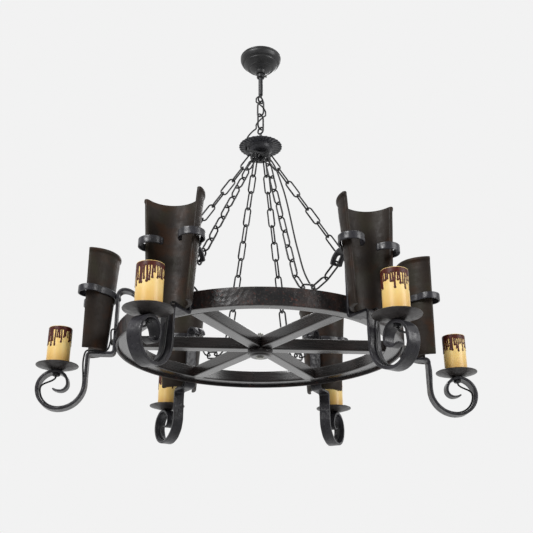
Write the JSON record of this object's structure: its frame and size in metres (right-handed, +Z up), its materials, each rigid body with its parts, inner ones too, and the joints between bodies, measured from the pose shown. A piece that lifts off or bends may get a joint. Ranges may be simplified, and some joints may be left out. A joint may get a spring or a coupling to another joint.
{
  "type": "wagon wheel chandelier",
  "caption": "Hanging light: a spoked wagon wheel on chains, with scrolled iron arms that carry drip candle lamps and half-round clay tile shields.",
  "frame": {"origin": "centre of the hanging eye, inside the ceiling canopy, 20 mm below the ceiling", "axes": "+Z up along the stem; +X towards arm 1; +Y completes a right-handed frame, and the picture looks along +Y from below"},
  "size_m": [0.766, 0.673, 0.7325],
  "materials": {
    "stem_iron": "satin charcoal paint",
    "canopy_iron": "satin charcoal paint",
    "chain_iron": "satin charcoal paint, worn bright on the turns",
    "tyre_iron": "hammered, blackened with rust flecks",
    "black_wood": "black stain, satin",
    "arm_iron": "satin charcoal paint over forge marks",
    "clay": "matt dark brown fired clay",
    "wax": "satin cream with dark red-brown drips",
    "holder_plastic": "matt black",
    "zinc": "bright zinc",
    "cable_pvc": "matt black"
  },
  "bodies": {
    "stem": {"ceiling_eye": "stem_iron", "stem_tube": "stem_iron", "stem_hook": "stem_iron", "supply_cable_top": "cable_pvc"},
    "canopy": {"canopy": "canopy_iron", "canopy_collar": "canopy_iron", "canopy_set_screw": "zinc"},
    "upper_link": {"upper_link": "stem_iron", "supply_cable_upper": "cable_pvc"},
    "lower_link": {"lower_link": "stem_iron", "supply_cable_lower": "cable_pvc"},
    "fixture": {"disc_eye": "stem_iron", "top_disc": "canopy_iron", "disc_nuts": "stem_iron", "chain_plate": "stem_iron", "chain_1": "chain_iron", "chain_2": "chain_iron", "chain_3": "chain_iron", "chain_4": "chain_iron", "chain_5": "chain_iron", "chain_6": "chain_iron", "tyre": "tyre_iron", "felloe": "black_wood", "spokes": "black_wood", "hub_boss": "black_wood", "wheel_bolts": "zinc", "arm_1": "arm_iron", "arm_2": "arm_iron", "arm_3": "arm_iron", "arm_4": "arm_iron", "arm_5": "arm_iron", "arm_6": "arm_iron", "tile_1": "clay", "tile_2": "clay", "tile_3": "clay", "tile_4": "clay", "tile_5": "clay", "tile_6": "clay", "tile_strap_1": "arm_iron", "tile_strap_2": "arm_iron", "tile_strap_3": "arm_iron", "tile_strap_4": "arm_iron", "tile_strap_5": "arm_iron", "tile_strap_6": "arm_iron", "strap_rivets": "arm_iron", "drip_pan_1": "arm_iron", "drip_pan_2": "arm_iron", "drip_pan_3": "arm_iron", "drip_pan_4": "arm_iron", "drip_pan_5": "arm_iron", "drip_pan_6": "arm_iron", "lampholders": "holder_plastic", "lamp_nipples": "stem_iron", "lamp_cables": "cable_pvc"},
    "sleeve_1": {"candle_sleeve_1": "wax"},
    "sleeve_2": {"candle_sleeve_2": "wax"},
    "sleeve_3": {"candle_sleeve_3": "wax"},
    "sleeve_4": {"candle_sleeve_4": "wax"},
    "sleeve_5": {"candle_sleeve_5": "wax"},
    "sleeve_6": {"candle_sleeve_6": "wax"}
  },
  "joints": [
    {"name": "canopy_slide", "type": "slide", "parent": "stem", "child": "canopy", "axis": [0, 0, -1], "range_m": [0, 0.038]},
    {"name": "upper_link_swing", "type": "hinge", "parent": "stem", "child": "upper_link", "pos_m": [0, 0, -0.08825], "axis": [0.7071, 0.7071, 0], "range_deg": [-25, 25]},
    {"name": "lower_link_swing", "type": "hinge", "parent": "upper_link", "child": "lower_link", "pos_m": [0, 0, -0.11895], "axis": [-0.7071, 0.7071, 0], "range_deg": [-25, 25]},
    {"name": "fixture_swing", "type": "hinge", "parent": "lower_link", "child": "fixture", "pos_m": [0, 0, -0.14965], "axis": [0.7071, 0.7071, 0], "range_deg": [-20, 20]},
    {"name": "sleeve_1_lift", "type": "slide", "parent": "fixture", "child": "sleeve_1", "axis": [0, 0, 1], "range_m": [0, 0.075]},
    {"name": "sleeve_2_lift", "type": "slide", "parent": "fixture", "child": "sleeve_2", "axis": [0, 0, 1], "range_m": [0, 0.075]},
    {"name": "sleeve_3_lift", "type": "slide", "parent": "fixture", "child": "sleeve_3", "axis": [0, 0, 1], "range_m": [0, 0.075]},
    {"name": "sleeve_4_lift", "type": "slide", "parent": "fixture", "child": "sleeve_4", "axis": [0, 0, 1], "range_m": [0, 0.075]},
    {"name": "sleeve_5_lift", "type": "slide", "parent": "fixture", "child": "sleeve_5", "axis": [0, 0, 1], "range_m": [0, 0.075]},
    {"name": "sleeve_6_lift", "type": "slide", "parent": "fixture", "child": "sleeve_6", "axis": [0, 0, 1], "range_m": [0, 0.075]}
  ]
}
